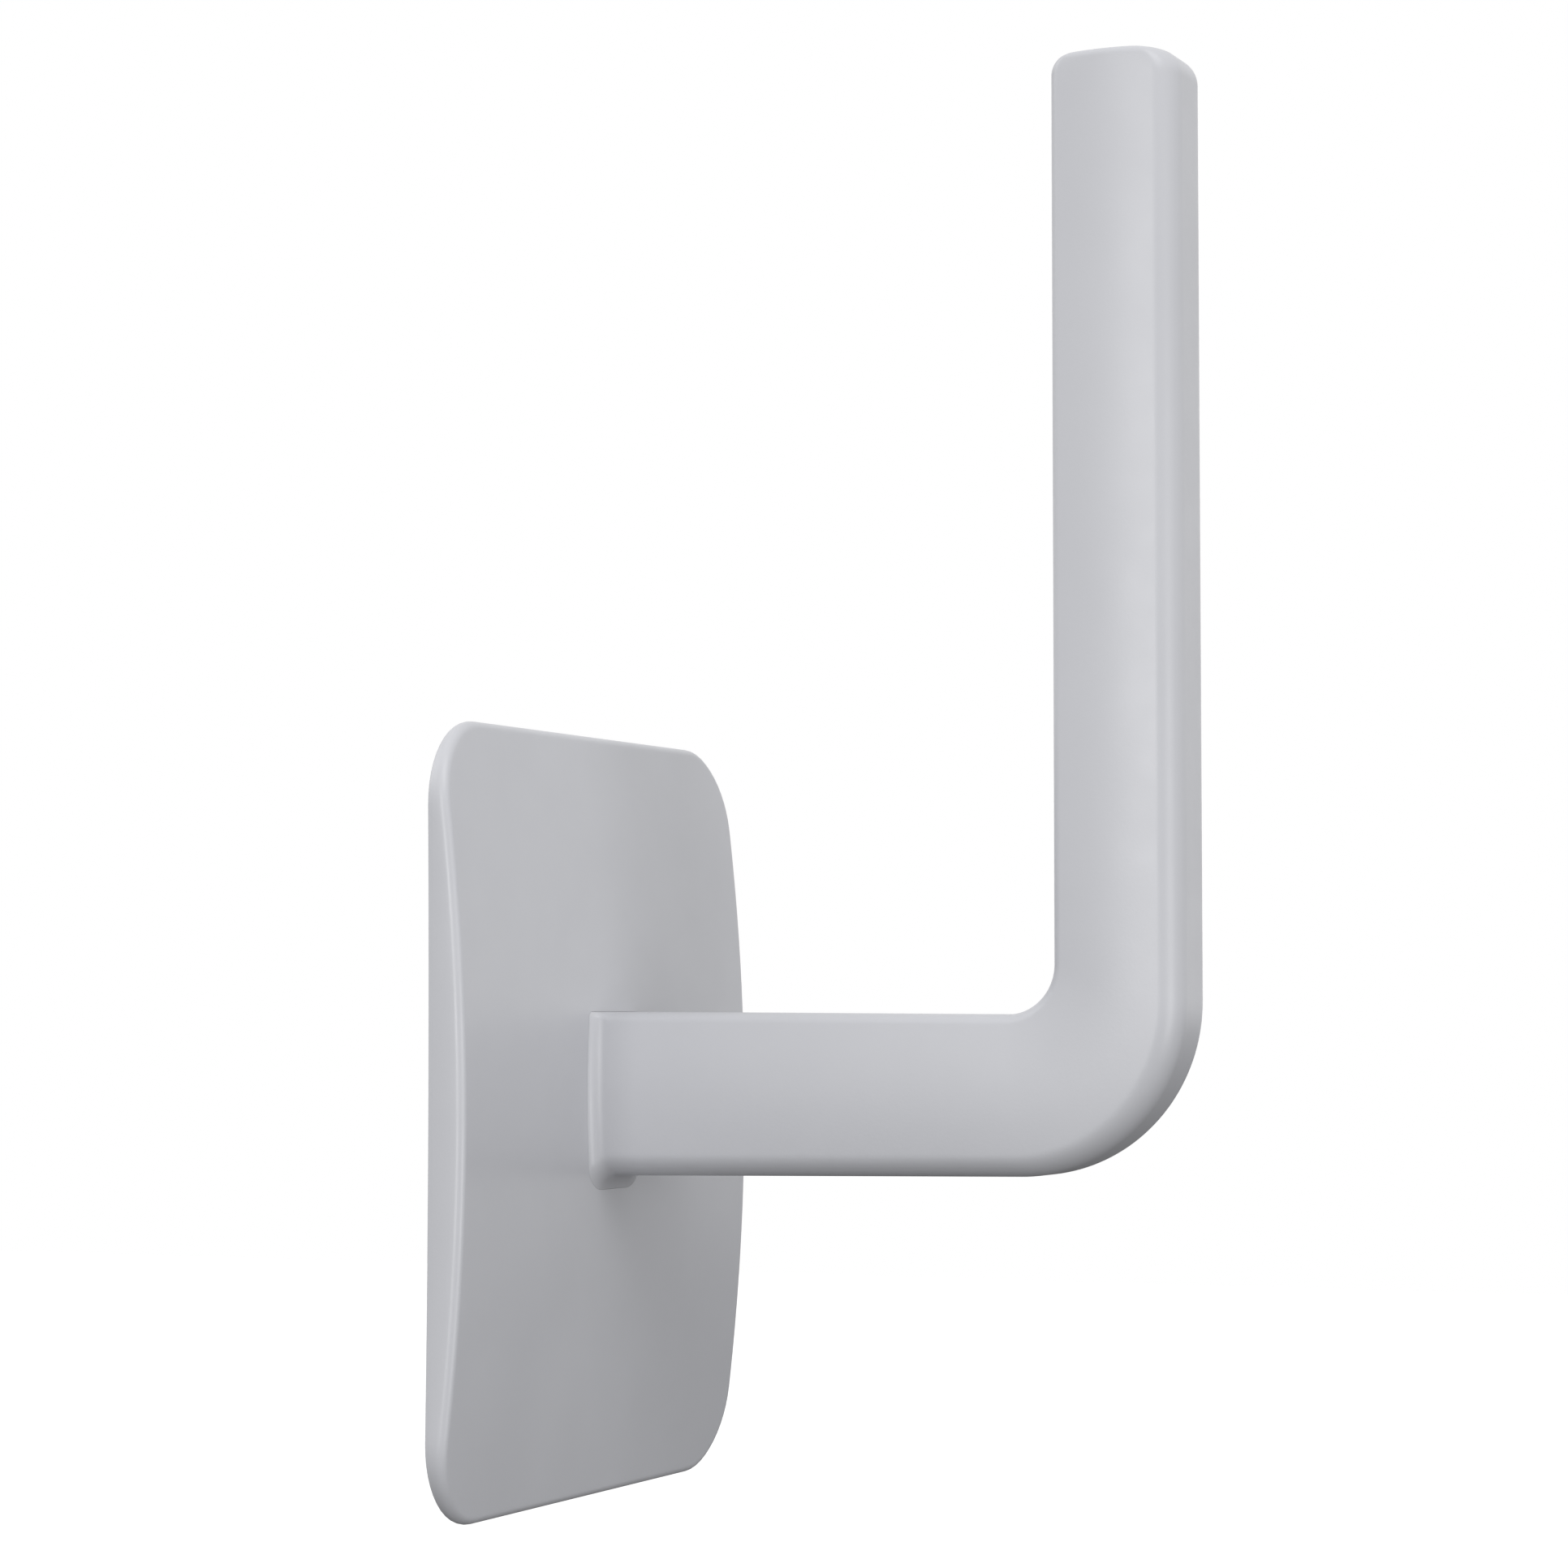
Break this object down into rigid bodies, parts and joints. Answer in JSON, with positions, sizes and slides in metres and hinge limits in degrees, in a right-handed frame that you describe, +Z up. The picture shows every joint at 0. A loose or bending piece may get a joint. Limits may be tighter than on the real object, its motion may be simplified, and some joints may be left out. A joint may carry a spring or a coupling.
{
  "type": "adhesive wall hook",
  "caption": "Adhesive wall hook: an arched plate with a foam pad on its back carries a squared arm that runs straight out and turns up into a long upright post.",
  "frame": {"origin": "centre of the face that meets the wall, the liner's outer face", "axes": "+Y into the wall, so the arm runs out along -Y; +Z up, along the post; +X across the plate"},
  "size_m": [0.0636, 0.0649, 0.1379],
  "materials": {
    "grey_moulding": "satin light grey moulded plastic with a very fine grain",
    "screw_steel": "bright zinc-plated steel",
    "pad_foam": "white closed-cell foam with a tacky skin",
    "liner_paper": "smooth waxed paper, cream"
  },
  "bodies": {
    "hook": {"base_plate": "grey_moulding", "hook_arm": "grey_moulding", "arm_screws": "screw_steel", "adhesive_pad": "pad_foam"},
    "liner": {"release_liner": "liner_paper"}
  },
  "joints": [
    {"name": "liner_peel", "type": "slide", "parent": "hook", "child": "liner", "axis": [0, 1, 0], "range_m": [0, 0.05]}
  ]
}
